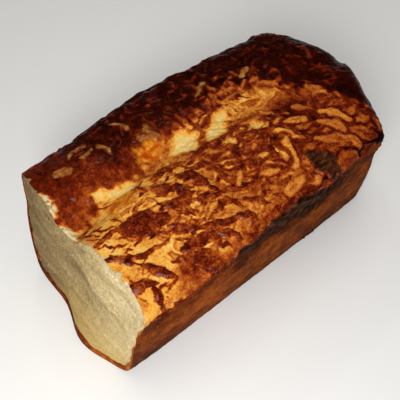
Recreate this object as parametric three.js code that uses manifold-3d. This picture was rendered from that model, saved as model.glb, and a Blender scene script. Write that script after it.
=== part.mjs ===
// A tin loaf of cheese bread with its near end sliced off: one solid, the baked-on cheese fused to its crust.
// Millimetres, +Z up. +X runs along the loaf from the cut face to the far end, and -Y is its front side.
import * as THREE from "three";
import { mergeVertices } from "three/addons/utils/BufferGeometryUtils.js";
import Module from "manifold-3d";

// The loaf, as its tin shaped it
const LENGTH = 240; // belly of the cut face to the far end
const FRONT_HALF = 65.6; // half width at the rim
const BACK_HALF = 60.9;
const BACK_BULGE = 4.7; // how far the back swells out beside the middle of the loaf
const BACK_TAPER = 4.5; // how far it draws in towards the far end
const FRONT_FOOT = 55; // half width at the base, at the cut face
const BACK_FOOT = 49.5;
const FOOT_FLARE = 4.6; // how much wider the foot is at the far end
const FOOT_RADIUS = 9.5; // rounded edge between side and base
const FOOT_PINCH = 10; // how much rounder it is where the knife came out
const RIM_HEIGHT = 81; // where the side meets the top crust, at the cut face
const RIM_RISE = 2.8; // how much higher it is at mid-length
const RIM_FALL = 4; // how much lower it is again at the far end
const LIP = 1.6; // how far the top crust hangs over the side
const LIP_DEPTH = 17; // height of the hollow under that lip

// The top: two lobes and the split between them
const FRONT_TOP = 96; // above the base
const BACK_TOP = 93.5;
const SHOULDER = 2.7; // the larger, the squarer the dome
const SPLIT_DEPTH = 10.3; // at the cut face
const SPLIT_WIDTH = 11;
const SPLIT_SLOPE = 18; // its width towards the back, at the cut face
const LUMPS = 0.9; // unevenness of the crust

// The two ends
const CUT_LEAN = 0.22; // how far the cut face leans back for each millimetre of height
const CUT_BELLY = 5.5; // how far the crumb bulges out low on the cut face
const CUT_CORNER = 4; // how far the cut face draws back at its front foot
const CUT_WAVE = 1; // unevenness of the sawn crumb
const CUT_VALLEY = 0.8; // depth of the long hollow across the cut face
const CUT_STRAY = 4; // how far the knife strayed from side to side under the top crust
const END_LENGTH = 34; // over which the far end rounds off
const END_MIDDLE = 46; // height of the far end's middle
const END_SKEW = 22; // how much shorter the top crust is at the front of the far end

// Cheese shreds baked on the top, the largest where they lie on the real loaf:
// start x, start y, end x, end y, bend sideways and width
const LARGE_SHREDS = [
  [-74, -17, -50, -27, 0, 14],
  [-50, -21, -34, -26, 0, 6],
  [-33, -15, -34, -27, 0, 8],
  [-42, -3, -24, -2, 3, 6],
  [-44, -8, -38, -16, 0, 9],
  [-90, -17, -74, -16, 1, 3],
  [-94, -24, -78, -39, 0, 3],
  [-78, -39, -67, -58, 0, 5],
  [-87, -28, -57, -38, -3, 4],
  [-89, -46, -77, -53, 0, 7],
  [-81, -51, -82, -63, 0, 4],
  [-55, -47, -36, -50, 0, 8],
  [-36, -50, -27, -62, 2, 5],
  [-64, -49, -45, -56, 1, 4.5],
  [-56, -56, -46, -64, 0, 7],
  [-52, -32, -18, -52, -3, 3.5],
  [-18, -52, -12, -58, 0, 9],
  [-41, -26, -8, -35, -1, 4],
  [-11, -38, 5, -41, 0, 3],
  [-21, -37, -25, -44, 0, 3.5],
  [-12, -45, 0, -55, 2, 3],
  [-14, -4, 9, -9, 3, 7],
  [9, -9, 9, -18, 0, 5],
  [16, -11, 39, -23, 0, 5],
  [10, -18, 26, -23, 1, 3.5],
  [26, -24, 25, -38, -2, 3.5],
  [-10, -17, -5, -31, -2, 3],
  [-6, -21, 5, -31, 4, 3],
  [8, -29, 15, -34, 0, 8],
  [-24, -11, -20, -25, 0, 6],
  [37, -49, 44, -58, 0, 14],
  [46, -47, 66, -57, 0, 3],
  [69, -26, 87, -33, 0, 6],
];
const SMALL_SHREDS = 44; // the rest are drawn
const SHRED_LENGTH = [10, 34]; // shortest and longest
const SHRED_WIDTH = [2, 4];
const SHRED_HEADING = -0.4; // most lie along the loaf, turned a little to the front
const SHRED_SPREAD = 1.1;
const SHRED_HEIGHT = 1.4; // of its ridge above the crust
const SHRED_SINK = 4; // of its underside below the crust

// Fineness of the mesh
const AROUND = 60; // columns round a section, a multiple of 4 so that one lies on each rim
const RINGS_CUT = 8;
const RINGS_BODY = 31;
const RINGS_END = 10;
const RINGS = RINGS_CUT + RINGS_BODY + RINGS_END;
const SMALLEST = 0.003; // detail that the joining leaves and that is smoothed away

// Shares of the way round a section, from the middle of the top to the middle of the base
const TOP_SHARE = 0.5;
const SIDE_SHARE = 0.78;
const FOOT_SHARE = 0.88;

const { clamp, lerp, smoothstep } = THREE.MathUtils;
const CUT_FOOT = -LENGTH / 2 + CUT_BELLY;
const CUT_X = CUT_FOOT + CUT_LEAN * RIM_HEIGHT; // the cut face at the rim
const END_X = LENGTH / 2 - END_LENGTH; // where the far end starts to round off

// A bump of height 1 at the middle that fades out over the given width.
const bump = (value, middle, width) => Math.exp(-(((value - middle) / width) ** 2));

// Half the loaf's width at the rim, on the front (-1) or the back (1).
function halfWidth(x, side) {
  const wave = 0.8 * Math.sin(x / 13 + side) - 0.8;
  if (side < 0) return FRONT_HALF + wave;
  const bulge = BACK_BULGE * bump(x, -20, 34) + 1.8 * bump(x, 48, 12);
  return BACK_HALF + bulge - BACK_TAPER * smoothstep(x, 28, END_X) + wave;
}

function rimHeight(x) {
  const swell = RIM_RISE * smoothstep(x, CUT_FOOT, 0) - RIM_FALL * smoothstep(x, 28, LENGTH / 2);
  return RIM_HEIGHT + swell + 1.2 * Math.sin(x / 9);
}

// The split's line along the top, which strays to the back and ends nearer the front.
function splitLine(x) {
  return 3 + 8 * bump(x, -32, 45) - 10 * smoothstep(x, 0, LENGTH / 3);
}

// Height of the two lobes, the split and the lumps of the crust, away from the shoulders.
function lobeHeight(x, y) {
  const across = y - splitLine(x);
  const lobes = lerp(FRONT_TOP, BACK_TOP, smoothstep(across, -SPLIT_WIDTH, SPLIT_WIDTH));
  const depth = SPLIT_DEPTH * (1 - 0.9 * smoothstep(x, CUT_FOOT, LENGTH / 3));
  const lumps = Math.sin(x / 11 + y / 19) + Math.sin(y / 8 - x / 23) * Math.sin(x / 17);
  const backWidth = lerp(SPLIT_SLOPE, SPLIT_WIDTH, smoothstep(x, CUT_FOOT, -20));
  const split = depth * bump(across, 0, across > 0 ? backWidth : SPLIT_WIDTH);
  return lobes - split + LUMPS * lumps;
}

// How far the far end has closed at x: its share of the length, and what is left of the full size.
function closing(x) {
  const along = clamp((x - END_X) / END_LENGTH, 0, 1) ** 1.25;
  return { along, open: Math.sqrt(1 - along * along) };
}

// Height of the top crust over a point of the plan.
function topHeight(x, y) {
  const { open } = closing(x);
  const at = Math.min(x, END_X);
  const across = y / open ** 1.2;
  const reach = clamp(Math.abs(across) / halfWidth(at, Math.sign(y)), 0, 1);
  const dome = (1 - reach ** SHOULDER) ** (1 / SHOULDER);
  return lerp(END_MIDDLE, lerp(rimHeight(at), lobeHeight(at, across), dome), open ** 0.24);
}

// Half the base's width and the radius of its rounded edge.
function footSize(x, side) {
  const half = (side < 0 ? FRONT_FOOT : BACK_FOOT) + FOOT_FLARE * smoothstep(x, CUT_FOOT, LENGTH / 2);
  return { half, radius: FOOT_RADIUS + (side < 0 ? FOOT_PINCH * bump(x, CUT_FOOT, 26) : 0) };
}

// One point of the section at x. Turn runs from 0 at the middle of the base, round the front and the top, to 1.
function sectionPoint(x, turn) {
  const side = turn < 0.5 ? -1 : 1;
  const down = Math.abs(1 - 2 * turn); // 0 at the middle of the top, 1 at the middle of the base
  const rim = halfWidth(x, side);
  const { half, radius } = footSize(x, side);
  if (down < TOP_SHARE) {
    const out = down / TOP_SHARE;
    const y = side * rim * lerp(out, Math.sin((out * Math.PI) / 2), 0.5);
    return [y, topHeight(x, y)];
  }
  if (down < SIDE_SHARE) {
    const drop = (down - TOP_SHARE) / (SIDE_SHARE - TOP_SHARE);
    const z = lerp(rimHeight(x), radius, drop);
    const hollow = LIP * bump(z, rimHeight(x) - LIP_DEPTH, LIP_DEPTH / 2);
    return [side * (lerp(rim, half, drop) - hollow), z];
  }
  if (down < FOOT_SHARE) {
    const angle = ((down - SIDE_SHARE) / (FOOT_SHARE - SIDE_SHARE)) * (Math.PI / 2);
    return [side * (half - radius * (1 - Math.cos(angle))), radius * (1 - Math.sin(angle))];
  }
  return [(side * (half - radius) * (1 - down)) / (1 - FOOT_SHARE), 0];
}

// Height of a point of the cut face above the long hollow that slants across it.
const aboveValley = (y, z) => z - (52 + 0.25 * y);

// The cut face's place along the loaf at a point of the section.
function cutFace(y, z) {
  const wave = CUT_WAVE * (Math.sin(y / 16 + z / 30) + 0.6 * Math.sin(y / 7 - z / 12));
  const low = 1 - smoothstep(z, 0, 45);
  const foot = CUT_CORNER * smoothstep(-y, 25, 55) - CUT_BELLY * bump(y, -15, 22);
  const high = smoothstep(z, 40, 80);
  const stray = CUT_STRAY * (bump(y, -50, 16) - 0.5 * bump(y, 16, 7));
  const valley = CUT_VALLEY * bump(aboveValley(y, z), 0, 11) * bump(y, -5, 45);
  return CUT_FOOT + CUT_LEAN * z + wave + low * foot + high * stray + valley;
}

// A ring of the cut face, between its middle and its edge.
function cutPoint(share, turn) {
  const [edgeY, edgeZ] = sectionPoint(CUT_X, turn);
  const y = edgeY * share;
  const z = lerp(RIM_HEIGHT / 2, edgeZ, share);
  return [cutFace(y, z), y, z];
}

// A ring of the body, which leans like the cut face at first and stands upright at the other end.
function bodyPoint(share, turn) {
  const [y, z] = sectionPoint(lerp(CUT_X, END_X, share), turn);
  return [lerp(cutFace(y, z), END_X, share), y, z];
}

// A ring of the far end, which is rounder at the top than at the base and slants back at the front.
function endPoint(share, turn) {
  const [y, z] = sectionPoint(END_X, turn);
  const x = END_X + END_LENGTH * Math.sin((share * Math.PI) / 2) ** 0.8;
  const { along, open } = closing(share < 1 ? x : LENGTH / 2);
  const high = smoothstep(z, 20, 85);
  const slant = END_SKEW * along * open * high * clamp(-y / FRONT_HALF, 0, 1) ** 2;
  return [x - slant, y * open ** lerp(0.8, 1.2, high), lerp(END_MIDDLE, z, open ** 0.24)];
}

function loafPoint(ring, turn) {
  if (ring < RINGS_CUT) return cutPoint(ring / RINGS_CUT, turn);
  const inBody = ring - RINGS_CUT;
  if (inBody < RINGS_BODY) return bodyPoint(inBody / RINGS_BODY, turn);
  return endPoint((inBody - RINGS_BODY) / RINGS_END, turn);
}

// The bread: a closed grid of rings, from the middle of the cut face to the middle of the far end.
function breadGeometry() {
  const grid = new THREE.SphereGeometry(1, AROUND, RINGS);
  const { position, uv } = grid.attributes;
  for (let i = 0; i < position.count; i++) {
    const ring = Math.round((1 - uv.getY(i)) * RINGS);
    const column = Math.floor(uv.getX(i) * AROUND + 0.25) % AROUND;
    position.setXYZ(i, ...loafPoint(ring, column / AROUND));
  }
  return grid;
}

// A repeatable draw between two values.
function drawer(seed) {
  let state = seed;
  return (low, high) => {
    state = (state * 48271) % 2147483647;
    return lerp(low, high, state / 2147483647);
  };
}

// The smaller shreds, the longest first, in the same form as the large ones.
function drawnShreds() {
  const draw = drawer(20);
  return Array.from({ length: SMALL_SHREDS }, (_, i) => {
    const length = lerp(SHRED_LENGTH[1], SHRED_LENGTH[0], i / SMALL_SHREDS);
    const x = draw(-0.37, 0.43) * LENGTH;
    const y = draw(-0.84, 0.84) * BACK_HALF;
    const heading = SHRED_HEADING + draw(-SHRED_SPREAD, SHRED_SPREAD);
    const reach = [(length / 2) * Math.cos(heading), (length / 2) * Math.sin(heading)];
    const bend = draw(-0.12, 0.12) * length;
    return [x - reach[0], y - reach[1], x + reach[0], y + reach[1], bend, draw(...SHRED_WIDTH)];
  });
}

// A shred: a ball drawn out along its bent line and half sunk in the crust. The knife that cut the loaf cut it too.
function shredGeometry([x0, y0, x1, y1, bend, width]) {
  const ball = new THREE.SphereGeometry(1, 6, 6);
  const { position } = ball.attributes;
  const length = Math.hypot(x1 - x0, y1 - y0);
  const sideways = [-(y1 - y0) / length, (x1 - x0) / length];
  for (let i = 0; i < position.count; i++) {
    const along = position.getY(i);
    const aside = bend * (1 - along * along) - 0.7 * width * position.getX(i);
    const rise = lerp(-SHRED_SINK, SHRED_HEIGHT, (position.getZ(i) + 1) / 2);
    const y = clamp(lerp(y0, y1, (along + 1) / 2) + aside * sideways[1], -FRONT_HALF + 4, BACK_HALF - 4);
    const knife = cutFace(y, FRONT_TOP) + 1;
    const x = Math.max(lerp(x0, x1, (along + 1) / 2) + aside * sideways[0], knife);
    position.setXYZ(i, x, y, topHeight(x, y) + rise);
  }
  return ball;
}

const wasm = await Module();
wasm.setup();

function solid(geometry) {
  geometry.deleteAttribute("normal");
  geometry.deleteAttribute("uv");
  const merged = mergeVertices(geometry, 1e-3);
  const triVerts = new Uint32Array(merged.index.array);
  const mesh = { numProp: 3, vertProperties: merged.attributes.position.array, triVerts };
  return new wasm.Manifold(new wasm.Mesh(mesh));
}

function geometryOf(body) {
  const { vertProperties, triVerts } = body.getMesh();
  const geometry = new THREE.BufferGeometry();
  geometry.setAttribute("position", new THREE.BufferAttribute(vertProperties, 3));
  geometry.setIndex(new THREE.BufferAttribute(triVerts, 1));
  return geometry;
}

// The bread and its shreds as one solid. A hollow that the shreds seal is filled and a loose scrap dropped.
function loafGeometry() {
  const shreds = [...LARGE_SHREDS, ...drawnShreds()].map((shred) => solid(shredGeometry(shred)));
  const joined = wasm.Manifold.union([solid(breadGeometry()), ...shreds]).simplify(SMALLEST);
  const bodies = solid(geometryOf(joined)).decompose();
  const outer = bodies.reduce((most, body) => (body.volume() > most.volume() ? body : most));
  const geometry = geometryOf(outer);
  geometry.computeVertexNormals();
  return geometry;
}

const crust = new THREE.MeshStandardMaterial({ color: "#b06a26", roughness: 0.65, metalness: 0 });
const loaf = new THREE.Mesh(loafGeometry(), crust);
loaf.name = "loaf";

const group = new THREE.Group();
group.add(loaf);
export default group;
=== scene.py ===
# A tin loaf of cheese bread with its near end sliced off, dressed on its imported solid.
# Lengths are millimetres, as in the solid's own source, until the meshes are made in metres.
import math

import bpy
import numpy as np
from mathutils import Matrix, Vector
from mathutils import noise as smooth_noise


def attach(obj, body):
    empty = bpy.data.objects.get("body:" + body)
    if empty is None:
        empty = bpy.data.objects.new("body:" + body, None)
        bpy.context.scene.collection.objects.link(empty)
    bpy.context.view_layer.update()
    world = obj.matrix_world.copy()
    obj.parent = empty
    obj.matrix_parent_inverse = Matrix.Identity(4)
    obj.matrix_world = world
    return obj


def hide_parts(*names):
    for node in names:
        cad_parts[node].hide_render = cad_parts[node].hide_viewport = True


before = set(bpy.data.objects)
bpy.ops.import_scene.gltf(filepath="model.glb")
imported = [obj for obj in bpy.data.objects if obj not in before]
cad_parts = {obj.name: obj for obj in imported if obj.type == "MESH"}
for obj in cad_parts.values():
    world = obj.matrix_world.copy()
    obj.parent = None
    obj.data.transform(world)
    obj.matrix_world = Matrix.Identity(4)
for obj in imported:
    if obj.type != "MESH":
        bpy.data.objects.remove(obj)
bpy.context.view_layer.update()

MM = 0.001

# The loaf, as its tin shaped it
LENGTH = 240  # belly of the cut face to the far end
FRONT_HALF = 65.6  # half width at the rim
BACK_HALF = 60.9
BACK_BULGE = 4.7  # how far the back swells out beside the middle of the loaf
BACK_KNOB = 1.8  # how far it swells out again before the far end
BACK_TAPER = 4.5  # how far it draws in towards the far end
SIDE_WAVE = 0.8  # unevenness of the rim seen from above
FRONT_FOOT = 55  # half width at the base, at the cut face
BACK_FOOT = 49.5
FOOT_FLARE = 4.6  # how much wider the foot is at the far end
FOOT_RADIUS = 9.5  # rounded edge between side and base
FOOT_PINCH = 10  # how much rounder it is where the knife came out
RIM_HEIGHT = 81  # where the side meets the top crust, at the cut face
RIM_RISE = 2.8  # how much higher it is at mid-length
RIM_FALL = 4  # how much lower it is again at the far end
RIM_WAVE = 1.2  # unevenness of its height
LIP = 1.6  # how far the top crust hangs over the side
LIP_DEPTH = 17  # height of the hollow under that lip
CHAR_DEPTH = 13  # how far below the rim the burnt band stays black
CHAR_FADE = 26  # over which it then fades

# The top: two lobes and the split between them
FRONT_TOP = 96  # above the base
BACK_TOP = 93.5
SHOULDER = 2.7  # the larger, the squarer the dome
SPLIT_DEPTH = 10.3  # at the cut face
SPLIT_WIDTH = 11
SPLIT_SLOPE = 18  # its width towards the back, at the cut face
LUMPS = 0.9  # unevenness of the crust

# The two ends
CUT_LEAN = 0.22  # how far the cut face leans back for each millimetre of height
CUT_BELLY = 5.5  # how far the crumb bulges out low on the cut face
CUT_CORNER = 4  # how far the cut face draws back at its front foot
CUT_WAVE = 1  # unevenness of the sawn crumb
CUT_VALLEY = 0.8  # depth of the long hollow across the cut face
VALLEY_HEIGHT = 52  # of that hollow above the base, in the middle
VALLEY_SLANT = 0.25  # how far it rises for each millimetre towards the back
CUT_STRAY = 4  # how far the knife strayed from side to side under the top crust
END_LENGTH = 34  # over which the far end rounds off
END_MIDDLE = 46  # height of the far end's middle
END_SKEW = 22  # how much shorter the top crust is at the front of the far end
END_RIM = 77  # height of the rim there
CUT_FOOT = -LENGTH / 2 + CUT_BELLY
CUT_X = CUT_FOOT + CUT_LEAN * RIM_HEIGHT  # the cut face at the rim
END_X = LENGTH / 2 - END_LENGTH  # where the far end starts to round off

# Shares of the way round a section, from the middle of the top to the middle of the base
TOP_SHARE = 0.5
SIDE_SHARE = 0.78
FOOT_SHARE = 0.88

# Cheese shreds baked on the top, the largest where they lie on the real loaf:
# start x, start y, end x, end y, bend sideways and width
LARGE_SHREDS = [
    [-74, -17, -50, -27, 0, 14],
    [-50, -21, -34, -26, 0, 6],
    [-33, -15, -34, -27, 0, 8],
    [-42, -3, -24, -2, 3, 6],
    [-44, -8, -38, -16, 0, 9],
    [-90, -17, -74, -16, 1, 3],
    [-94, -24, -78, -39, 0, 3],
    [-78, -39, -67, -58, 0, 5],
    [-87, -28, -57, -38, -3, 4],
    [-89, -46, -77, -53, 0, 7],
    [-81, -51, -82, -63, 0, 4],
    [-55, -47, -36, -50, 0, 8],
    [-36, -50, -27, -62, 2, 5],
    [-64, -49, -45, -56, 1, 4.5],
    [-56, -56, -46, -64, 0, 7],
    [-52, -32, -18, -52, -3, 3.5],
    [-18, -52, -12, -58, 0, 9],
    [-41, -26, -8, -35, -1, 4],
    [-11, -38, 5, -41, 0, 3],
    [-21, -37, -25, -44, 0, 3.5],
    [-12, -45, 0, -55, 2, 3],
    [-14, -4, 9, -9, 3, 7],
    [9, -9, 9, -18, 0, 5],
    [16, -11, 39, -23, 0, 5],
    [10, -18, 26, -23, 1, 3.5],
    [26, -24, 25, -38, -2, 3.5],
    [-10, -17, -5, -31, -2, 3],
    [-6, -21, 5, -31, 4, 3],
    [8, -29, 15, -34, 0, 8],
    [-24, -11, -20, -25, 0, 6],
    [46, -47, 66, -57, 0, 3],
    [69, -26, 87, -33, 0, 6],
]
SCORCHED_SHRED = [38, -48, 47, -64, 0, 15]  # the one that burnt black

# Shreds drawn at random between them: lengths from first to last, least and greatest width, and
# where they lie, along and across, as shares of the loaf's length and half width
SMALL_SHREDS = dict(seed=20, count=44, lengths=(34, 10), widths=(2, 4))
FINE_SHREDS = dict(seed=7, count=300, lengths=(16, 4), widths=(1.2, 3.0), across=(-0.98, 0.5))
SHRED_ALONG = (-0.37, 0.43)  # where nothing else is said
SHRED_ACROSS = (-0.84, 0.84)
SHRED_HEADING = -0.4  # most lie along the loaf, turned a little to the front
SHRED_SPREAD = 1.1  # how far a heading strays from that, where nothing else is said
SHRED_BEND = 0.12  # at most, as a share of the length
SHRED_TAPER = 0.6  # how much narrower the ends are than the middle
FAR_OUTSIDE = -9.0  # depth inside the shreds of a point that is near none

# Short ends of cheese on the dark back lobe
FLECKS = dict(seed=11, count=380, lengths=(8, 3), widths=(1.6, 3.4), across=(-0.3, 1.0), spread=2.2)

# Golden ends of cheese on the browned middle of the top, and broader flakes towards the far end
FINGERS = dict(
    seed=6, count=110, lengths=(21, 8), widths=(3.6, 6.6), along=(-0.26, 0.22), across=(-0.95, 0.12)
)
FLAKES = dict(
    seed=5, count=64, lengths=(25, 11), widths=(5, 10), along=(0.1, 0.5), across=(-1.05, 0.6), spread=0.8
)
FLAKE_SEED = 3  # of their outlines and tones
FLAKE_TAPER = 0.3
FLAKE_WEDGE = 0.5  # how much a flake can widen towards one end, before it tapers
FLAKE_GAP = 1.6  # width of the dark line round a flake that lies on another
FLAKE_APART = 1.2  # how far drawn flakes keep from the large ones

# Golden flakes that stand out towards the far end, in the same form as the shreds
LARGE_FLAKES = [
    [36, -24, 45, -37, 0, 6],
    [36, -30, 29, -46, 0, 8],
    [50, -41, 69, -58, 0, 9],
    [68, -28, 78, -44, 0, 7],
    [45, -22, 55, -26, 0, 7],
    [59, -15, 65, -23, 0, 6],
    [62, -33, 70, -47, 0, 7],
    [26, -31, 27, -41, 0, 5],
    [46, -61, 64, -64, 0, 10],
    [14, -57, 26, -55, 0, 8],
]

# Pale bread that shows in the split, in the same form as the shreds
PALE_PATCHES = [
    [-97, 6, -88, 4, 0, 6],
    [-71, 16, -48, 6, 0, 10],
    [-47, -1, -42, -3, 0, 4],
    [-14, 9, -2, 11, 0, 18],
    [3, -1, 24, 11, 0, 11],
    [8, -9, 13, -10, 0, 5],
    [27, -9, 33, -12, 0, 6],
]

# Crumb that tore up over the edge of the cut, in the same form
TORN_EDGES = [
    [-95, 34, -96, 20, 0, 6],
    [-96, 12, -95, -2, 0, 7],
    [-95, -10, -94, -18, 0, 5],
]

# Longer ends of cheese that show on the back lobe, which hardly taper
PALE_FLECK_TAPER = 0.1
PALE_FLECKS = [
    [-67, 46, -57, 48, 1, 2.4],
    [-62, 38, -55, 43, 0, 2.8],
    [-50, 42, -47, 34, 1, 2.2],
    [-34, 52, -28, 41, 2, 2.6],
    [-27, 28, -18, 24, 0, 3.2],
    [-18, 24, -19, 34, 2, 2.8],
    [-79, 39, -74, 37, 0, 7],
    [21, 34, 31, 40, 0, 4],
    [53, 27, 59, 29, 0, 4],
]

# Spots on the top: x and reach along the loaf, y and reach across it
GLAZE_SPOTS = [(-64, 9, 0, 6), (-29, 10, 20, 7)]  # thin melted cheese shines orange beside the split
LIGHT_SPOT = (44, 13, 5, 9)  # the crust stayed lighter at the far end of the split
MELTED_SPOT = (-28, 13, -3, 8)  # cheese melted on the slope of the back lobe; y is from the dark edge

# The front edge of the dark crust on the back lobe
DARK_EDGE = (1, 19)  # its y at the cut face and from the middle on
DARK_BENDS = [(9, -68, 10), (-7, -42, 10)]  # how far it strays to the back, at what x, with what reach
DARK_TURN = 36  # x from which it curves round to the front
DARK_CURVE = 0.019  # how sharply

# The crust's fine relief
SHRED_HEIGHT = 1.4  # of a large shred's ridge above the crust
NET_HEIGHT = 0.7  # of the net of smaller shreds
FLAKE_HEIGHT = 0.8
FLECK_HEIGHT = 0.7
TORN_HEIGHT = 1.6  # of crumb that tore up over the edge of the cut
BREAD_SINK = 1.0  # how far the bread in the split lies below the crust
CRAG_HEIGHT = 1.4  # of lumps on the burnt rim
CRAG_SWELL = 1.0  # how far that rim stands out in all
CRACK_DEPTH = 3.8
CLUMP_HEIGHT = 1.2  # of lumps on the burnt shred

# Where the knife cut crust and crumb
LIP_THICKNESS = 1.0  # of the crust there, on the top
LIP_SIDE = 0.7  # how much thicker it is on the sides
LIP_BASE = 3.2  # and how much more at the base
LIP_PROUD = 1.2  # how far the thick crust stands out
LIP_BEHIND = 0.8  # how far the inner corner of its edge lies behind the cut face
EDGE_BEHIND = 0.2  # and the outer corner
EDGE_INSET = 0.35  # how far that corner lies inside the outline
SKIN_BEHIND = 0.4  # how far the first ring of the skin lies behind the cut face
WALL_DEPTH = 9.0  # of the crust's inner wall behind the cut face
SLAB_DEPTH = 4.5  # of the crumb's back
CRUMB_SINK = 1.4  # how far the crumb's edge lies behind the cut face
TUFT_HEIGHT = 1.6  # of bits of crumb that stand up over the top crust
HOLE_DEPTH = 1.2

# How brown the top is, from 0, pale, to 1, burnt
GROUND_BROWN = (0.27, 0.63)  # bare crust on the front, where it browned least and most
BACK_BROWN = 0.57  # the edge of the dark crust on the back lobe
BACK_DEEPENS = (0.12, 0.25)  # how much browner that gets further back, at the cut face and past it
BACK_FADE = (46, 9)  # millimetres over which it does, at the cut face and past it
MELTED_BROWN = 0.49
SHRED_BROWN = 0.61
FLECK_BROWN = 0.58
GOLDEN_FADE = 0.17  # how much less brown golden flecks are
FLAKE_BROWN = (0.27, 0.43)
FLAKE_RIM_BROWN = 0.52
BREAD_BROWN = (0.26, 0.1)  # bread in the split, from its edge inwards

# How pale the cut end is, from 0 to 1
CRUMB_TONE = 0.41
CRUMB_WARMTH = 0.4  # how golden it is at most
RIND_TONE = 0.55  # the cut edge of the crust, at the front
RIND_DARKENS = 0.4  # towards the back

# How burnt the crust is, from 0 to 1
BACK_CHAR = 0.6  # the rim on the back, against the front
CLUMP_CHAR = 0.7  # the burnt shred

# Colours along scales from 0 to 1
BROWNING = [
    (0.00, "#ecdca0"),
    (0.12, "#dfbd6c"),
    (0.25, "#e8a640"),
    (0.38, "#c6742a"),
    (0.50, "#9a4212"),
    (0.62, "#6a1e08"),
    (0.75, "#3b0c02"),
    (0.88, "#1e0502"),
    (1.00, "#0e0302"),
]
SIDE_TONES = [(0.0, "#2e1204"), (0.35, "#6a2d05"), (0.65, "#98490a"), (1.0, "#be6614")]
CHAR_TONES = [(0.0, "#0a0503"), (0.5, "#2e170c"), (1.0, "#603a26")]
GLAZE_TONES = [(0.3, "#b4480a"), (0.5, "#cc6c10"), (0.7, "#e69a28")]
PATCH_TONES = [(0.0, "#6a3010"), (0.5, "#985a26"), (1.0, "#c28e4c")]
LIP_TONES = [(0.0, "#4a1c06"), (0.4, "#903f10"), (0.7, "#c07026"), (1.0, "#deb062")]
CRUMB_TONES = [(0.0, "#7c6443"), (0.3, "#a48c60"), (0.6, "#cfb682"), (1.0, "#f2e5bc")]
CRUMB_WARM = "#dcb45e"
FLOOR_COLOUR = "#f4f3f0"

# Gloss of the crust, for its pale and its browned parts
TOP_ROUGHNESS = (0.45, 0.22)
TOP_COAT = (0.05, 0.15)  # a thin film of fat
SHRED_COAT = 0.05  # how much more of it the shreds have
COAT_ROUGHNESS = 0.2
DRY_ROUGHNESS = 0.7  # of the side and of what is burnt
GLOSS = 0.03
GLOSS_TINT = "#ff9858"
GLAZE_SHARE = 0.85  # how far the glaze hides the crust

# The crumb's gloss, and the depth of the grain in both materials
CRUMB_ROUGHNESS = 0.9
CRUMB_GLOSS = 0.1
CRUST_GRAIN = 0.5
CRUMB_GRAIN = 0.8

# What the crust's material reads at each point
CRUST_FIELDS = [
    "toast", "cut", "rind", "dark", "burn", "flake", "tone", "fleck", "golden",
    "patch", "glaze", "pale", "torn", "back", "below", "char", "side",
]

# Fineness of the meshes
COLUMNS = 330  # round the crust
EDGE_ROWS = 4  # of the inner wall and the cut edge
BODY_ROWS = 236
END_ROWS = 56
CRUMB_COLUMNS = 420
CRUMB_RINGS = 110
SIDE_DENSITY = 0.4  # of columns on the sides, against the top
BASE_DENSITY = 0.1
SECTION_POINTS = 4001  # by which lengths round the skin are measured

# Chance that comes out the same in each run
DRAW_FACTOR = 48271
DRAW_RANGE = 2147483647
SEED_SHIFT = 17.3  # how far apart the noise of two seeds lies

# The photograph's camera
CAMERA_PLACE = (-130.4, -161.1, 355.4)
CAMERA_YAW = math.radians(37.6)
CAMERA_PITCH = math.radians(57.55)
CAMERA_ROLL = math.radians(-2.91)
CAMERA_LENS = 50

# Studio lights: place, aim and size in metres, power in watts
LIGHTS = {
    "key": dict(place=(-0.30, -0.27, 0.40), aim=(-0.05, 0.0, 0.06), size=0.22, power=1.9),
    "glint": dict(place=(0.12, 0.28, 0.5), aim=(0, 0, 0.09), size=0.03, power=0.12, tint=(1.0, 0.9, 0.7)),
    "top": dict(place=(0.1, 0.1, 1.3), aim=(0, 0, 0.05), size=0.8, power=2.5, glossy=False),
}
WORLD_LIGHT = 0.35
FLOOR_REACH = 3.0  # metres


# Small tools for arrays

def lerp(a, b, share):
    return a + (b - a) * share


def clamp(value, low=0.0, high=1.0):
    return np.clip(value, low, high)


def smoothstep(value, low, high):
    share = clamp((value - low) / (high - low))
    return share * share * (3 - 2 * share)


def bump(value, middle, width):
    """A bump of height 1 at the middle that fades out over the given width."""
    return np.exp(-(((value - middle) / width) ** 2))


def spot(place, x, y):
    """A bump of height 1 at a spot on the top."""
    middle_x, reach_x, middle_y, reach_y = place
    return bump(x, middle_x, reach_x) * bump(y, middle_y, reach_y)


def lumps(points, size, seed):
    """Smooth noise between about -1 and 1, with lumps of the given size. Each seed is another pattern."""
    shifted = points.reshape(-1, 3) / size + SEED_SHIFT * seed
    values = np.array([smooth_noise.noise(point) for point in shifted.tolist()])
    return values.reshape(points.shape[:-1])


def drawer(seed):
    """A repeatable draw between two values."""
    state = seed

    def draw(low, high):
        nonlocal state
        state = (state * DRAW_FACTOR) % DRAW_RANGE
        return lerp(low, high, state / DRAW_RANGE)

    return draw


# The loaf's form

def half_width(x, side):
    """Half the loaf's width at the rim, on the front (-1) or the back (1)."""
    wave = SIDE_WAVE * np.sin(x / 13 + side) - SIDE_WAVE
    bulge = BACK_BULGE * bump(x, -20, 34) + BACK_KNOB * bump(x, 48, 12)
    back = BACK_HALF + bulge - BACK_TAPER * smoothstep(x, 28, END_X)
    return np.where(side < 0, FRONT_HALF, back) + wave


def rim_height(x):
    """Height of the edge between the side and the top crust."""
    swell = RIM_RISE * smoothstep(x, CUT_FOOT, 0) - RIM_FALL * smoothstep(x, 28, LENGTH / 2)
    return RIM_HEIGHT + swell + RIM_WAVE * np.sin(x / 9)


def split_line(x):
    """The split's line along the top, which strays to the back and ends nearer the front."""
    return 3 + 8 * bump(x, -32, 45) - 10 * smoothstep(x, 0, LENGTH / 3)


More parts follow.
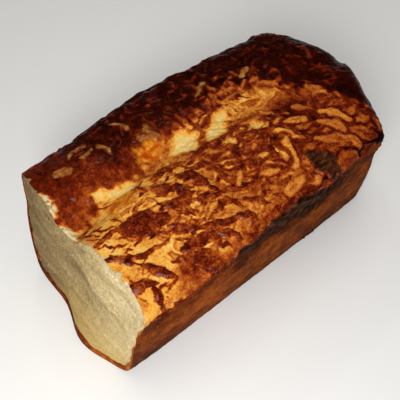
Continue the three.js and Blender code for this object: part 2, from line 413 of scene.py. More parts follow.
def lobe_height(x, y):
    """Height of the two lobes, the split and the lumps of the crust, away from the shoulders."""
    across = y - split_line(x)
    lobes = lerp(FRONT_TOP, BACK_TOP, smoothstep(across, -SPLIT_WIDTH, SPLIT_WIDTH))
    depth = SPLIT_DEPTH * (1 - 0.9 * smoothstep(x, CUT_FOOT, LENGTH / 3))
    waves = np.sin(x / 11 + y / 19) + np.sin(y / 8 - x / 23) * np.sin(x / 17)
    back_width = lerp(SPLIT_SLOPE, SPLIT_WIDTH, smoothstep(x, CUT_FOOT, -20))
    split = depth * bump(across, 0, np.where(across > 0, back_width, SPLIT_WIDTH))
    return lobes - split + LUMPS * waves


def top_height(x, y):
    """Height of the top crust over a point of the plan."""
    reach = clamp(np.abs(y) / half_width(x, np.sign(y)))
    dome = (1 - reach**SHOULDER) ** (1 / SHOULDER)
    return lerp(rim_height(x), lobe_height(x, y), dome)


def way_down(turn):
    """Share of the way from the middle of the top, round either side, to the middle of the base."""
    return np.abs(1 - 2 * turn)


def section(x, turn):
    """Points of the section at x. Turn runs from 0 at the base, round the front and the top, to 1."""
    side = np.where(turn < 0.5, -1.0, 1.0)
    down = way_down(turn)
    rim = half_width(x, side)
    half = np.where(side < 0, FRONT_FOOT, BACK_FOOT) + FOOT_FLARE * smoothstep(x, CUT_FOOT, LENGTH / 2)
    radius = FOOT_RADIUS + np.where(side < 0, FOOT_PINCH * bump(x, CUT_FOOT, 26), 0)
    out = clamp(down / TOP_SHARE)
    top_y = side * rim * lerp(out, np.sin(out * np.pi / 2), 0.5)
    drop = clamp((down - TOP_SHARE) / (SIDE_SHARE - TOP_SHARE))
    side_z = lerp(rim_height(x), radius, drop)
    hollow = LIP * bump(side_z, rim_height(x) - LIP_DEPTH, LIP_DEPTH / 2)
    side_y = side * (lerp(rim, half, drop) - hollow)
    angle = clamp((down - SIDE_SHARE) / (FOOT_SHARE - SIDE_SHARE)) * np.pi / 2
    foot_y = side * (half - radius * (1 - np.cos(angle)))
    foot_z = radius * (1 - np.sin(angle))
    base_y = side * (half - radius) * (1 - down) / (1 - FOOT_SHARE)
    parts = [down < TOP_SHARE, down < SIDE_SHARE, down < FOOT_SHARE]
    y = np.select(parts, [top_y, side_y, foot_y], base_y)
    z = np.select(parts, [top_height(x, top_y), side_z, foot_z], 0.0)
    return y, z


def above_valley(y, z):
    """Height of a point of the cut face above the long hollow that slants across it."""
    return z - (VALLEY_HEIGHT + VALLEY_SLANT * y)


def cut_face(y, z):
    """The cut face's place along the loaf at a point of the section."""
    wave = CUT_WAVE * (np.sin(y / 16 + z / 30) + 0.6 * np.sin(y / 7 - z / 12))
    low = 1 - smoothstep(z, 0, 45)
    foot = CUT_CORNER * smoothstep(-y, 25, 55) - CUT_BELLY * bump(y, -15, 22)
    high = smoothstep(z, 40, 80)
    stray = CUT_STRAY * (bump(y, -50, 16) - 0.5 * bump(y, 16, 7))
    valley = CUT_VALLEY * bump(above_valley(y, z), 0, 11) * bump(y, -5, 45)
    return CUT_FOOT + CUT_LEAN * z + wave + low * foot + high * stray + valley


def body_points(share, turn):
    """Rings of the body, which lean like the cut face at first and stand upright at the other end."""
    y, z = section(lerp(CUT_X, END_X, share), turn)
    return np.stack([lerp(cut_face(y, z), END_X, share), y, z], axis=-1)


def end_points(share, turn):
    """Rings of the far end, which is rounder at the top than at the base and slants back at the front."""
    y, z = section(np.full_like(share, END_X), turn)
    along = np.sin(share * np.pi / 2)
    opening = np.sqrt(1 - along**2)
    high = smoothstep(z, 20, 85)
    slant = END_SKEW * along * opening * high * clamp(-y / FRONT_HALF) ** 2
    x = END_X + END_LENGTH * along**0.8 - slant
    return np.stack([x, y * opening ** lerp(0.8, 1.2, high), lerp(END_MIDDLE, z, opening**0.24)], axis=-1)


def cut_points(inset, depth, turn):
    """A ring of the cut face, a little inside the loaf's outline and behind the face."""
    y, z = section(np.full_like(turn, CUT_X), turn)
    middle = RIM_HEIGHT / 2
    share = 1 - inset / np.hypot(y, z - middle)
    y, z = y * share, lerp(middle, z, share)
    return np.stack([cut_face(y, z) + depth, y, z], axis=-1)


def skin_steps():
    """Turns round the middle section, and the lengths of the steps between its points there."""
    turn = np.linspace(0, 1, SECTION_POINTS)
    y, z = section(np.zeros_like(turn), turn)
    return turn, np.hypot(np.diff(y), np.diff(z))


def spread_turns(count):
    """Turns round the section, close together on the top and further apart on the sides and the base."""
    turn, steps = skin_steps()
    down = way_down(turn[:-1])
    density = np.select([down < TOP_SHARE, down < FOOT_SHARE], [1, SIDE_DENSITY], BASE_DENSITY)
    reach = np.append(0, np.cumsum(steps * density))
    return np.interp(np.arange(count) / count * reach[-1], reach, turn)


def below_rim(rows, turn):
    """How far each point lies below the rim, measured along the skin. It is negative on the top."""
    turns, steps = skin_steps()
    reach = np.append(0, np.cumsum(steps))
    rims = ((1 - TOP_SHARE) / 2, (1 + TOP_SHARE) / 2)
    here, front, back = (np.interp(at, turns, reach) for at in (turn, *rims))
    below = np.maximum(front - here, here - back)
    return lerp(below, END_RIM - rows[..., 2], smoothstep(rows[..., 0], END_X, END_X + 12))


# Meshes

def add_mesh(name, rows):
    """A closed mesh from rings of points, the first and last of which are single points."""
    count, columns = rows.shape[:2]
    inner = rows[1:-1].reshape(-1, 3)
    points = np.vstack([inner, rows[0, :1], rows[-1, :1]]) * MM
    first, last = len(inner), len(inner) + 1
    ring = np.arange(columns)
    turned = (ring + 1) % columns
    faces = [(first, a, b) for a, b in zip(ring.tolist(), turned.tolist())]
    for row in range(count - 3):
        here, there = row * columns, (row + 1) * columns
        quads = np.stack([here + turned, here + ring, there + ring, there + turned], axis=1)
        faces.extend(map(tuple, quads.tolist()))
    start = (count - 3) * columns
    faces += [(last, start + b, start + a) for a, b in zip(ring.tolist(), turned.tolist())]
    mesh = bpy.data.meshes.new(name)
    mesh.from_pydata(points.tolist(), [], faces)
    mesh.shade_smooth()
    piece = bpy.data.objects.new(name, mesh)
    bpy.context.scene.collection.objects.link(piece)
    return piece


def flat(rows):
    """A value for each point of a ring grid, in the order of its mesh."""
    return np.concatenate([rows[1:-1].ravel(), rows[0, :1], rows[-1, :1]])


def add_field(piece, name, rows):
    """Stores a value at each point, for the material."""
    layer = piece.data.attributes.new(name, "FLOAT", "POINT")
    layer.data.foreach_set("value", flat(rows).astype(np.float32))


def raise_skin(piece, rows):
    """Moves each point along its normal."""
    mesh = piece.data
    places = np.empty(3 * len(mesh.vertices))
    normals = np.empty_like(places)
    mesh.vertices.foreach_get("co", places)
    mesh.vertex_normals.foreach_get("vector", normals)
    places += normals * np.repeat(flat(rows) * MM, 3)
    mesh.vertices.foreach_set("co", places)
    mesh.update()


# Cheese

def drawn_shreds(
    seed, count, lengths, widths, along=SHRED_ALONG, across=SHRED_ACROSS, spread=SHRED_SPREAD
):
    """Shreds drawn over the top, the longest first, in the same form as the large ones."""
    draw = drawer(seed)
    shreds = []
    for i in range(count):
        length = lerp(*lengths, i / count)
        x = draw(*along) * LENGTH
        y = draw(*across) * BACK_HALF
        heading = SHRED_HEADING + draw(-spread, spread)
        reach_x = length / 2 * math.cos(heading)
        reach_y = length / 2 * math.sin(heading)
        bend = draw(-SHRED_BEND, SHRED_BEND) * length
        shreds.append([x - reach_x, y - reach_y, x + reach_x, y + reach_y, bend, draw(*widths)])
    return shreds


def inside(shred, x, y, taper, wedge=0.0):
    """How far each point lies inside a shred's edge. It is negative outside."""
    x0, y0, x1, y1, bend, width = shred
    length = math.hypot(x1 - x0, y1 - y0)
    ahead = ((x - x0) * (x1 - x0) + (y - y0) * (y1 - y0)) / length
    aside = ((y - y0) * (x1 - x0) - (x - x0) * (y1 - y0)) / length
    along = 2 * ahead / length - 1
    past = np.maximum(np.abs(along) - 1, 0) * length / 2
    along = clamp(along, -1, 1)
    bow = bend * (1 - along**2)
    half = width / 2 * (1 - taper * along**2) * (1 + wedge * along)
    return half - np.hypot(aside - bow, past)


def deepest(shreds, x, y, taper=SHRED_TAPER):
    """How far each point lies inside the nearest of the shreds."""
    depth = np.full(x.shape, FAR_OUTSIDE)
    for shred in shreds:
        depth = np.maximum(depth, inside(shred, x, y, taper))
    return depth


def layered(flakes, x, y):
    """How far each point lies inside the topmost of overlapping flakes, and that flake's tone."""
    draw = drawer(FLAKE_SEED)
    depth = np.full(x.shape, FAR_OUTSIDE)
    tone = np.zeros(x.shape)
    for flake in flakes:
        here = inside(flake, x, y, FLAKE_TAPER, draw(-FLAKE_WEDGE, FLAKE_WEDGE))
        tone = np.where(here > -FLAKE_GAP / 2, draw(*FLAKE_BROWN), tone)
        depth = np.maximum(here, np.minimum(depth, -here - FLAKE_GAP))
    return depth, tone


def dark_edge(x):
    """Where the dark crust of the back lobe begins, which comes round to the front at the far end."""
    y = lerp(*DARK_EDGE, smoothstep(x, -88, -20))
    for bend, place, reach in DARK_BENDS:
        y = y + bend * bump(x, place, reach)
    return y - DARK_CURVE * np.maximum(x - DARK_TURN, 0) ** 2


def browned(x, y):
    """How far the ground between the shreds browned: little near the cut, and less at the front rim."""
    front = lerp(0.35, 1, np.maximum(smoothstep(y, -56, -38), smoothstep(x, 20, 40)))
    slope = 1 - 0.8 * bump(y, lerp(split_line(x), dark_edge(x), 0.5), 10)
    return smoothstep(x, -32, 8) * front * slope - 0.5 * spot(LIGHT_SPOT, x, y)


def strayed(points, seed):
    """How far a baked shred strays from its drawn line."""
    return 1.8 * lumps(points, 9, seed) + 1.0 * lumps(points, 4, seed + 1)


def shred_depths(rows, x, y, near):
    """How far points lie inside the large shreds, the burnt one, and the net of smaller ones."""
    swell = 0.9 * lumps(rows, 5, 10)
    burnt = inside(SCORCHED_SHRED, x, y, SHRED_TAPER) + 4 * lumps(rows, 6, 35) + 2 * lumps(rows, 3, 36)
    large = np.maximum(deepest(LARGE_SHREDS, x, y) + swell, burnt)
    small = deepest(drawn_shreds(**SMALL_SHREDS), x, y) + swell
    fine = deepest(drawn_shreds(**FINE_SHREDS), x, y)
    return large, burnt, np.maximum(small - 2.2 * near, fine - 0.6 * near)


def drawn_flakes(x, y, back, large):
    """How far points lie inside the drawn flakes, which the large ones push aside, and their tones."""
    depth, tone = layered(drawn_shreds(**FLAKES) + drawn_shreds(**FINGERS), x, y)
    return np.minimum(depth, -FLAKE_APART - large) - 2.5 * bump(back, -2, 7), tone


def rim_bake(rows, x, below, large_flake):
    """How far points lie inside a fringe of dark cheese along the rim, and how baked the top is there."""
    ragged = below + 5 * lumps(rows, 7, 27) + 3 * lumps(rows, 3, 28)
    fringe = np.minimum(ragged + lerp(0.5, 8, bump(x, 12, 38)), 1 - 1.5 * large_flake)
    baked = smoothstep(ragged + 8 * bump(x, -58, 10), -15, -2) * smoothstep(x, -78, -62)
    return fringe, baked


def crust_fields(rows, below):
    """What the crust's relief and material are made of, at each point."""
    flow_x = rows[..., 0] + strayed(rows, 1)
    flow_y = rows[..., 1] + strayed(rows, 4)
    x = flow_x + 0.6 * lumps(rows, 1.9, 3)
    y = flow_y + 0.6 * lumps(rows, 1.9, 6)
    near = 1 - smoothstep(x, -70, -30)
    far = smoothstep(x + 6 * lumps(rows, 12, 12), 30, 50)
    blotch = lumps(rows, 10, 7) + 0.7 * lumps(rows, 4.5, 8)
    streak = lumps(rows * [1, 0.25, 1], 2.6, 34)
    back = y - dark_edge(x) + 4 * lumps(rows, 14, 9) + 3 * lumps(rows, 5, 26) + 4 * streak
    golden = bump(back, 3, 13) * smoothstep(x, -10, 30)
    large, scorched, net = shred_depths(rows, x, y, near)
    flake, tone = layered(LARGE_FLAKES, flow_x, flow_y)
    other, other_tone = drawn_flakes(flow_x, flow_y, back, flake)
    fringe, baked = rim_bake(rows, x, below, flake)
    smooth = 0.8 * far + 3 * spot(MELTED_SPOT, x, back) + 1.5 * spot(LIGHT_SPOT, x, y)
    web = np.minimum(net - smooth, 0.2 - np.maximum(flake, other) + 9 * near)
    torn = deepest(TORN_EDGES, x, y) + 1.5 * lumps(rows, 2.5, 44)
    bread = np.minimum(deepest(PALE_PATCHES, x, y) + 1.2 * blotch, 4 - back)
    fleck = deepest(drawn_shreds(**FLECKS), x, y) + 1.2 * lumps(rows, 8, 13)
    return {
        "dark": np.maximum(np.maximum(web, large), fringe),
        "burn": 0.02 * smoothstep(large, 0.5, 3) - 0.06 * smoothstep(fringe, 0, 6),
        "large": large,
        "scorched": scorched,
        "net": net,
        "flake": np.maximum(flake, other) - 0.3,
        # Flakes and ground browner towards the far end, partly as painted falloff of light
        "tone": np.where(flake > other, tone - 0.05, other_tone + 0.18 * baked) + 0.11 * far,
        "ground": browned(x, y) + 0.2 * far + 0.8 * baked,
        "fleck": fleck + 1.1 * golden - 0.5,
        "golden": golden,
        "patch": deepest(PALE_FLECKS, x, y, PALE_FLECK_TAPER) + 1.3 * lumps(rows, 3.5, 38),
        "glaze": sum(spot(place, x, y) for place in GLAZE_SPOTS) * (1.3 + 0.6 * blotch),
        "streak": streak,
        "pale": np.maximum(bread, torn),
        "torn": torn,
        "back": back,
        "below": below + 1.5 * lumps(rows, 5, 14),
        "blotch": blotch,
    }


def toast(x, fields):
    """How brown the bare top crust is."""
    front = lerp(*GROUND_BROWN, fields["ground"]) + 0.12 * fields["blotch"]
    depth = lerp(*BACK_FADE, smoothstep(x, -85, 20))
    deepens = lerp(*BACK_DEEPENS, smoothstep(x, -95, -35)) * smoothstep(fields["back"], 0, depth)
    back = BACK_BROWN + deepens + 0.07 * fields["blotch"]
    brown = lerp(front, back, smoothstep(fields["back"], -3, 4))
    brown = brown + 0.22 * fields["streak"] * bump(fields["back"], -2, 9)
    return lerp(brown, MELTED_BROWN + 0.1 * fields["blotch"], spot(MELTED_SPOT, x, fields["back"]))


def rim_char(rows, turn, below):
    """How burnt the side is under the rim: ragged, and blackest along the middle of the front."""
    x = rows[..., 0]
    long = rows * [0.45, 1, 1]
    along = lerp(0.3, 1.0, smoothstep(x, -55, -8) * (1 - smoothstep(x, 42, 70)))
    height = below + 9 * lumps(long, 26, 29) + 5 * lumps(long, 11, 45)
    band = smoothstep(height, -7, 3) * (1 - smoothstep(height, CHAR_DEPTH, CHAR_DEPTH + CHAR_FADE))
    ragged = lumps(long, 9, 37) + 0.7 * lumps(long, 4, 47)
    return band * along * np.where(turn < 0.5, 1.0, BACK_CHAR) * (1 + 0.7 * ragged)


def char(rows, turn, fields):
    """How burnt the crust is, under the rim and at the burnt shred on it."""
    clump = smoothstep(fields["scorched"], -2, 3) * (1 - smoothstep(fields["below"], 2, 8))
    return np.maximum(rim_char(rows, turn, fields["below"]), CLUMP_CHAR * clump)


def side_tone(x):
    """How much paler the side is than usual: palest before the middle, and darker towards the ends."""
    ends = 0.12 * smoothstep(x, -5, 30) + 0.08 * (1 - smoothstep(x, -90, -70))
    return 0.06 * bump(x, -35, 25) - ends


def top_relief(rows, fields):
    """Height of what the top is covered with: shreds and flakes, flecks, blisters and torn bread."""
    on_back = smoothstep(fields["back"], -4, 6)
    network = NET_HEIGHT * smoothstep(fields["net"], -0.6, 1.2)
    network = np.maximum(network, SHRED_HEIGHT * smoothstep(fields["large"], -0.8, 2))
    flaky = FLAKE_HEIGHT * smoothstep(fields["flake"], -0.3, 1.4)
    shreds = np.maximum(network, flaky) * (1 - on_back)
    fleck = np.maximum(fields["fleck"], fields["patch"])
    flecks = FLECK_HEIGHT * smoothstep(fleck, -0.8, 1) * on_back
    blisters = 0.4 * lumps(rows, 5, 15) + 0.2 * lumps(rows, 1.9, 16)
    blisters = blisters * smoothstep(fields["back"], -8, 4)
    bread = smoothstep(fields["pale"], -2, 2) * (0.4 * lumps(rows * [0.4, 1, 1], 3, 17) - BREAD_SINK)
    torn = TORN_HEIGHT * smoothstep(fields["torn"], -1, 2) * (1 + lumps(rows, 2, 46))
    bare = 0.35 * lumps(rows, 6, 18) + 0.15 * lumps(rows, 1.8, 19)
    return shreds + flecks + blisters + bread + torn + bare


def burnt_relief(rows, fields):
    """Height of the crags and cracks on the burnt rim, and of the burnt shred."""
    rim = clamp(np.maximum(bump(fields["below"], 3, 9), fields["char"]))
    cracks = np.abs(lumps(rows * [0.4, 1, 1], 4, 21))
    crags = CRAG_HEIGHT * lumps(rows * [0.5, 1, 1], 7, 20) + CRAG_SWELL - CRACK_DEPTH * cracks
    crags = crags * rim * smoothstep(rows[..., 0], CUT_X, CUT_X + 12)
    return crags + CLUMP_HEIGHT * smoothstep(fields["scorched"], -1, 2) * lumps(rows, 3.5, 33)


def side_relief(rows):
    """Height of the side's grain, which fades out at the base."""
    return (0.3 * lumps(rows, 6, 30) + 0.25 * lumps(rows, 2.2, 22)) * smoothstep(rows[..., 2], 0, 4)


def crust_relief(rows, fields):
    """Height of the crust's fine relief over the loaf's form."""
    skin = lerp(top_relief(rows, fields), side_relief(rows), smoothstep(fields["below"], -4, 2))
    return skin + burnt_relief(rows, fields)


# The two pieces

def lip_thickness(turn):
    """How thick the crust is where the knife cut it. It is uneven all round."""
    edge = cut_points(0, 0, turn)
    down = way_down(turn)
    lower = LIP_SIDE * smoothstep(down, 0.5, 0.6) + LIP_BASE * smoothstep(down, 0.76, 0.88)
    uneven = clamp(1 + 1.5 * lumps(edge, 13, 31) + 0.7 * lumps(edge, 5, 39), 0.3, 2.2)
    return (LIP_THICKNESS + lower) * uneven


def tuft_height(turn):
    """How far torn bits of crumb stand up over the edge of the top crust."""
    edge = cut_points(0, 0, turn)
    tufts = smoothstep(lumps(edge, 7, 40), 0.05, 0.4) * (0.8 + 1.4 * lumps(edge, 2.4, 41))
    torn = tufts + 0.5 * lumps(edge, 1.5, 42)
    return TUFT_HEIGHT * torn * (way_down(turn) < TOP_SHARE)


def crust_rows(turn):
    """Rings of the crust, from a wall inside it, over the cut edge, to the middle of the far end."""
    lip = lip_thickness(turn)
    wall = cut_points(lip + 1, WALL_DEPTH, turn)
    middle = np.broadcast_to(wall.mean(axis=0), wall.shape)
    proud = LIP_PROUD * smoothstep(way_down(turn), 0.6, 0.85)
    inner = cut_points(lip, LIP_BEHIND - proud, turn)
    outer = cut_points(EDGE_INSET, EDGE_BEHIND - proud, turn)
    body = body_points(np.linspace(0, 1, BODY_ROWS)[:, None], turn[None, :])
    body[0, :, 0] += SKIN_BEHIND
    end = end_points(np.linspace(0, 1, END_ROWS + 1)[1:, None], turn[None, :])
    return np.concatenate([np.stack([middle, wall, inner, outer]), body, end])


def rind_tone(y):
    """How pale the cut edge of the crust is."""
    return RIND_TONE - RIND_DARKENS * smoothstep(y, -45, 5)


def add_crust():
    turn = spread_turns(COLUMNS)
    rows = crust_rows(turn)
    ring = np.arange(len(rows))[:, None]
    fields = crust_fields(rows, below_rim(rows, turn))
    fields["toast"] = toast(rows[..., 0], fields)
    fields["char"] = char(rows, turn, fields)
    fields["side"] = side_tone(rows[..., 0])
    fields["rind"] = rind_tone(rows[..., 1])
    fields["cut"] = np.broadcast_to((ring > 0) & (ring < EDGE_ROWS), rows.shape[:2])
    # The cut edge stays as it is, and the relief fades out towards the middle of the far end
    share = smoothstep(len(rows) - ring, 1, 12) * (ring >= EDGE_ROWS)
    piece = add_mesh("crust", rows)
    raise_skin(piece, crust_relief(rows, fields) * share)
    for name in CRUST_FIELDS:
        add_field(piece, name, fields[name])
    return piece


def crumb_rows(turn):
    """Rings of a slab of crumb in the cut end: its face, from the middle outwards, and its back."""
    y, z = section(np.full_like(turn, CUT_X), turn)
    reach = np.hypot(y, z - RIM_HEIGHT / 2)
    lip = lip_thickness(turn)
    tufts = tuft_height(turn)
    edge = 0.95 * lip - tufts
    sink = CRUMB_SINK * (1 - smoothstep(tufts, 0, 0.6))
    rings = []
    for share in np.linspace(0, 1, CRUMB_RINGS):
        rings.append(cut_points(reach - share * (reach - edge), sink * smoothstep(share, 0.95, 1), turn))
    rings.append(cut_points(lip + 0.6, SLAB_DEPTH, turn))
    rings.append(cut_points(reach, SLAB_DEPTH, turn))
    return np.stack(rings)


def crumb_relief(rows):
    """The torn and sawn surface of the crumb, with a few larger holes."""
    torn = 0.7 * lumps(rows * [1, 0.35, 1], 6, 21) + 0.6 * lumps(rows, 3, 22) + 0.4 * lumps(rows, 1.5, 32)
    sawn = 0.4 * lumps(rows * [1, 0.2, 1], 2, 43)
    holes = smoothstep(lumps(rows * [1, 0.6, 1], 4.5, 23), 0.4, 0.7)
    return torn + sawn - HOLE_DEPTH * holes


def crumb_tone(rows, relief):
    """How pale the crumb is: palest under the top crust, with painted shade in the long hollow and in the
    pits of the torn surface, and darker at the back, partly as painted shade.
    """
    y, z = rows[..., 1], rows[..., 2]
    bands = 0.16 * lumps(rows * [1, 0.25, 1], 9, 24) + 0.1 * lumps(rows * [1, 0.2, 1], 3, 25)
    # Painted shade in the long hollow across the cut face
    hollow = 0.12 * bump(above_valley(y, z), 0, 7) * bump(y, -10, 40)
    # Darker towards the back: partly the crumb's own tone, partly painted shade
    back_tone_and_shade = 0.005 * y + 0.1 * smoothstep(y, -40, -5)
    under_top = 0.06 * smoothstep(z, 78, 90)
    # Paler on the relief's ridges and darker in its pits and holes, as painted shade
    return CRUMB_TONE + bands + 0.12 * relief - hollow - back_tone_and_shade + under_top


def crumb_warmth(rows):
    """How golden the crumb is: most at the foot of the front."""
    low = 1 - smoothstep(rows[..., 2], 10, 50)
    return CRUMB_WARMTH * low * (1 - smoothstep(rows[..., 1], 0, 30))


def add_crumb():
    rows = crumb_rows(spread_turns(CRUMB_COLUMNS))
    relief = crumb_relief(rows)
    on_face = np.arange(len(rows))[:, None] < CRUMB_RINGS
    piece = add_mesh("crumb", rows)
    raise_skin(piece, relief * on_face)
    add_field(piece, "tone", crumb_tone(rows, relief))
    add_field(piece, "warm", crumb_warmth(rows))
    return piece


# Materials

def colour(code):
    """A colour from its hexadecimal code, as the shaders take it."""
    parts = [int(code[i : i + 2], 16) / 255 for i in (1, 3, 5)]
    return [p / 12.92 if p <= 0.04045 else ((p + 0.055) / 1.055) ** 2.4 for p in parts] + [1.0]


class Graph:
    """A material's nodes, added and linked by short calls."""

    def __init__(self, name):
        self.material = bpy.data.materials.new(name)
        self.material.use_nodes = True
        self.tree = self.material.node_tree
        self.shader = self.tree.nodes["Principled BSDF"]
        self.place = self.add("ShaderNodeTexCoord", {}).outputs["Object"]

    def put(self, value, socket):
        if isinstance(value, bpy.types.NodeSocket):
            self.tree.links.new(value, socket)
        else:
            socket.default_value = value

    def add(self, kind, inputs, **settings):
        node = self.tree.nodes.new(kind)
        for name, value in settings.items():
            setattr(node, name, value)
        for key, value in inputs.items():
            self.put(value, node.inputs[key])
        return node

    def shade(self, name, value):
        """Sets or links an input of the material's shader."""
        self.put(value, self.shader.inputs[name])

    def math(self, operation, *values):
        return self.add("ShaderNodeMath", dict(enumerate(values)), operation=operation).outputs[0]

    def plus(self, value, extra, gain=1.0):
        """A value with a share of another added."""
        return self.math("MULTIPLY_ADD", extra, gain, value)

    def times(self, a, b):
        return self.math("MULTIPLY", a, b)

    def field(self, name):
        return self.add("ShaderNodeAttribute", {}, attribute_name=name).outputs["Fac"]

    def noise(self, size, detail, centre=0.5, gain=1.0, stretch=1.0):
        """Noise with lumps of the given size, stretched along the loaf and scaled about a centre."""
        factors = (1 / stretch, 1, 1)
        squeezed = self.add("ShaderNodeVectorMath", {0: self.place, 1: factors}, operation="MULTIPLY")
        inputs = {"Vector": squeezed.outputs[0], "Scale": 1 / (size * MM), "Detail": detail}
        value = self.add("ShaderNodeTexNoise", inputs).outputs["Fac"]
        return self.math("MULTIPLY_ADD", value, gain, -centre * gain)

    def step(self, value, low, high):
        """A smooth step from 0 to 1 between two values."""
        inputs = {"Value": value, "From Min": low, "From Max": high}
        return self.add("ShaderNodeMapRange", inputs, interpolation_type="SMOOTHSTEP").outputs["Result"]

    def mix(self, share, a, b):
        return self.add("ShaderNodeMix", {0: share, 2: a, 3: b}, data_type="FLOAT").outputs[0]

    def blend(self, share, a, b):
        return self.add("ShaderNodeMix", {0: share, 6: a, 7: b}, data_type="RGBA").outputs[2]

    def ramp(self, value, stops):
        node = self.add("ShaderNodeValToRGB", {"Fac": value})
        stops_here = node.color_ramp.elements
        while len(stops_here) < len(stops):
            stops_here.new(0.5)
        for stop, (position, code) in zip(stops_here, stops):
            stop.position = position
            stop.color = colour(code)
        return node.outputs["Color"]

    def bump(self, height, depth):
        inputs = {"Height": height, "Distance": depth * MM}
        self.shade("Normal", self.add("ShaderNodeBump", inputs).outputs["Normal"])


class CrustGraph(Graph):
    """The crust's nodes, with the grain that its colours share."""

    def __init__(self):
        super().__init__("crust")
        self.edge = self.noise(1.5, 4, gain=1.5)
        self.coarse = self.noise(4, 3, gain=0.32)
        self.fine = self.noise(1.2, 3, gain=0.3)
        self.specks = self.step(self.noise(1.6, 2, centre=0.0), 0.6, 0.7)
        self.back = self.step(self.field("back"), -3, 4)
        self.front = self.math("SUBTRACT", 1.0, self.back)

    def ragged(self, name, amount=1.0):
        """A field with ragged edges."""
        return self.plus(self.field(name), self.edge, amount)

    def mottled(self, tone, coarse, fine=1.0):
        """A tone with coarse and fine grain."""
        return self.plus(self.plus(tone, self.coarse, coarse), self.fine, fine)


def lay_flakes(g, brown):
    """Lays golden flakes, each with a dark line round it, over the ground's browning."""
    depth = g.ragged("flake", 0.7)
    tone = g.mix(g.step(depth, -0.4, 1.6), FLAKE_RIM_BROWN, g.field("tone"))
    tone = g.plus(tone, g.step(depth, 2.2, 4.0), 0.1)
    cover = g.times(g.step(depth, -0.9, 0.6), g.front)
    return g.mix(cover, brown, g.mottled(tone, 0.6))


def lay_bread(g, brown, depth, cover):
    """Lays the pale bread of the split over the browning."""
    tone = g.mix(g.step(depth, -0.5, 4.0), *BREAD_BROWN)
    return g.mix(cover, brown, g.mottled(tone, 0.7))


def lay_shreds(g, brown, cover):
    """Lays browned shreds, in uneven tones, over the browning."""
    tone = g.plus(g.plus(SHRED_BROWN, g.field("burn")), g.noise(5, 4), 0.7)
    return g.mix(cover, brown, g.mottled(tone, 0.8, 1.6))


def lay_flecks(g, brown):
    """Lays flecks of cheese over the browning of the back lobe."""
    tone = g.plus(FLECK_BROWN, g.field("golden"), -GOLDEN_FADE)
    cover = g.times(g.step(g.ragged("fleck"), -1.2, 1.6), g.back)
    return g.mix(cover, brown, g.plus(tone, g.coarse, 0.8))


def top_colour(g, brown):
    """Colours of the top: its browning, and glaze, ends of cheese and torn crumb over it."""
    top = g.ramp(brown, BROWNING)
    glaze = g.times(g.step(g.ragged("glaze", 0.3), 0.3, 0.8), GLAZE_SHARE)
    top = g.blend(glaze, top, g.ramp(g.noise(4, 4, centre=0.25, gain=2.0), GLAZE_TONES))
    patch = g.step(g.ragged("patch", 1.3), -0.9, 1.0)
    top = g.blend(patch, top, g.ramp(g.noise(3, 4, centre=0.25, gain=2.0), PATCH_TONES))
    torn = g.step(g.ragged("torn"), -0.6, 1.0)
    return g.blend(torn, top, g.ramp(g.plus(0.7, g.coarse), CRUMB_TONES))


def side_colour(g):
    """Colours of the side, which is darker low down, in specks and beside what is burnt."""
    tone = g.plus(g.noise(8, 4, centre=0.0), g.fine, 2.5)
    tone = g.plus(g.plus(tone, g.noise(30, 2, gain=0.6)), g.field("side"))
    tone = g.plus(tone, g.step(g.field("below"), 50, 85), -0.25)
    tone = g.plus(tone, g.specks, -0.35)
    tone = g.plus(tone, g.step(g.field("char"), 0.0, 0.6), -0.3)
    return g.ramp(tone, SIDE_TONES)


def set_gloss(g, brown, shreds, burnt):
    """Gives the top a faint oily coat, and leaves the side, burnt crust and the cut edge dry."""
    on_side = g.step(g.field("below"), -7, 1)
    browned_here = g.step(brown, 0.3, 0.7)
    roughness = g.mix(on_side, g.mix(browned_here, *TOP_ROUGHNESS), DRY_ROUGHNESS)
    g.shade("Roughness", g.mix(burnt, roughness, DRY_ROUGHNESS))
    coat = g.plus(g.mix(browned_here, *TOP_COAT), shreds, SHRED_COAT)
    dry = g.math("MAXIMUM", on_side, g.math("MAXIMUM", burnt, g.field("cut")))
    g.shade("Coat Weight", g.mix(dry, coat, 0.0))
    g.shade("Coat Roughness", COAT_ROUGHNESS)
    g.shade("Specular IOR Level", GLOSS)
    g.shade("Specular Tint", colour(GLOSS_TINT))


def crust_material():
    g = CrustGraph()
    bread_depth = g.ragged("pale", 2.0)
    bread = g.step(bread_depth, -2.4, 1.2)
    cheese = g.times(g.front, g.plus(1.0, bread, -0.9))
    shreds = g.times(g.step(g.ragged("dark"), -0.7, 0.4), cheese)
    brown = lay_flakes(g, g.mottled(g.field("toast"), 1.0))
    brown = lay_bread(g, brown, bread_depth, bread)
    brown = g.plus(brown, g.times(g.specks, g.front), 0.1)
    brown = lay_flecks(g, lay_shreds(g, brown, shreds))
    burnt = g.step(g.ragged("char", 0.4), 0.3, 0.8)
    soot = g.ramp(g.noise(2.5, 4, centre=0.27, gain=2.2, stretch=2), CHAR_TONES)
    lip = g.ramp(g.plus(g.field("rind"), g.noise(6, 4, gain=1.6)), LIP_TONES)
    skin = g.blend(g.step(g.field("below"), -1, 5), top_colour(g, brown), side_colour(g))
    skin = g.blend(burnt, skin, soot)
    g.shade("Base Color", g.blend(g.field("cut"), skin, lip))
    set_gloss(g, brown, shreds, burnt)
    g.bump(g.plus(g.noise(1.3, 3), g.noise(3.0, 2)), CRUST_GRAIN)
    return g.material


def crumb_material():
    g = Graph("crumb")
    tone = g.plus(g.field("tone"), g.noise(1.4, 4, gain=0.6))
    g.shade("Base Color", g.blend(g.field("warm"), g.ramp(tone, CRUMB_TONES), colour(CRUMB_WARM)))
    g.shade("Roughness", CRUMB_ROUGHNESS)
    g.shade("Specular IOR Level", CRUMB_GLOSS)
    g.bump(g.plus(g.noise(0.9, 4), g.noise(2.5, 3)), CRUMB_GRAIN)
    return g.material


def floor_material():
    g = Graph("floor")
    g.shade("Base Color", colour(FLOOR_COLOUR))
    g.shade("Roughness", 0.8)
    return g.material


# The stage

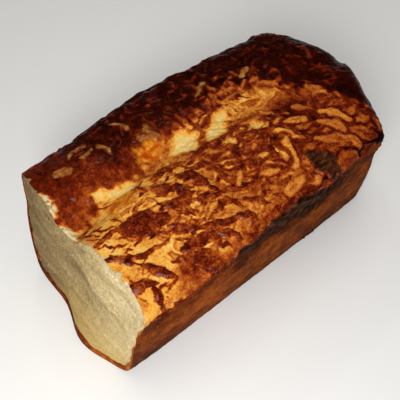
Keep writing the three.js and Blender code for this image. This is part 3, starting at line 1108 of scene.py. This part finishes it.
def add_floor():
    corners = [(-1, -1), (1, -1), (1, 1), (-1, 1)]
    points = [(FLOOR_REACH * x, FLOOR_REACH * y, 0) for x, y in corners]
    mesh = bpy.data.meshes.new("floor")
    mesh.from_pydata(points, [], [(0, 1, 2, 3)])
    floor = bpy.data.objects.new("floor", mesh)
    bpy.context.scene.collection.objects.link(floor)
    mesh.materials.append(floor_material())


def add_camera():
    camera = bpy.data.objects.new("camera", bpy.data.cameras.new("camera"))
    bpy.context.scene.collection.objects.link(camera)
    camera.data.lens = CAMERA_LENS
    camera.data.clip_start = 0.01
    level = math.cos(CAMERA_PITCH)
    ahead = Vector((math.sin(CAMERA_YAW) * level, math.cos(CAMERA_YAW) * level, -math.sin(CAMERA_PITCH)))
    right = Vector((math.cos(CAMERA_YAW), -math.sin(CAMERA_YAW), 0))
    facing = Matrix((right, right.cross(ahead), -ahead)).transposed().to_4x4()
    place = Matrix.Translation(Vector(CAMERA_PLACE) * MM)
    camera.matrix_world = place @ facing @ Matrix.Rotation(CAMERA_ROLL, 4, "Z")
    bpy.context.scene.camera = camera


def add_light(name, place, aim, size, power, tint=(1, 1, 1), glossy=True):
    """A round lamp that may be left out of reflections."""
    light = bpy.data.objects.new(name, bpy.data.lights.new(name, "AREA"))
    bpy.context.scene.collection.objects.link(light)
    light.data.shape = "DISK"
    light.data.size = size
    light.data.energy = power
    light.data.color = tint
    light.visible_glossy = glossy
    light.location = place
    light.rotation_euler = (Vector(aim) - Vector(place)).to_track_quat("-Z", "Y").to_euler()


def add_world():
    """Soft white light from all round, left out of reflections."""
    world = bpy.data.worlds.new("studio")
    bpy.context.scene.world = world
    world.use_nodes = True
    background = world.node_tree.nodes["Background"]
    background.inputs["Color"].default_value = (1, 1, 1, 1)
    background.inputs["Strength"].default_value = WORLD_LIGHT
    world.cycles_visibility.glossy = False
    bpy.context.scene.view_settings.view_transform = "Standard"


def dress(piece, material):
    """Gives a piece its material and puts it in the solid's place."""
    piece.data.materials.append(material)
    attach(piece, "root")
    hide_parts("loaf")


dress(add_crust(), crust_material())
dress(add_crumb(), crumb_material())
add_floor()
add_camera()
for name, light in LIGHTS.items():
    add_light(name, **light)
add_world()
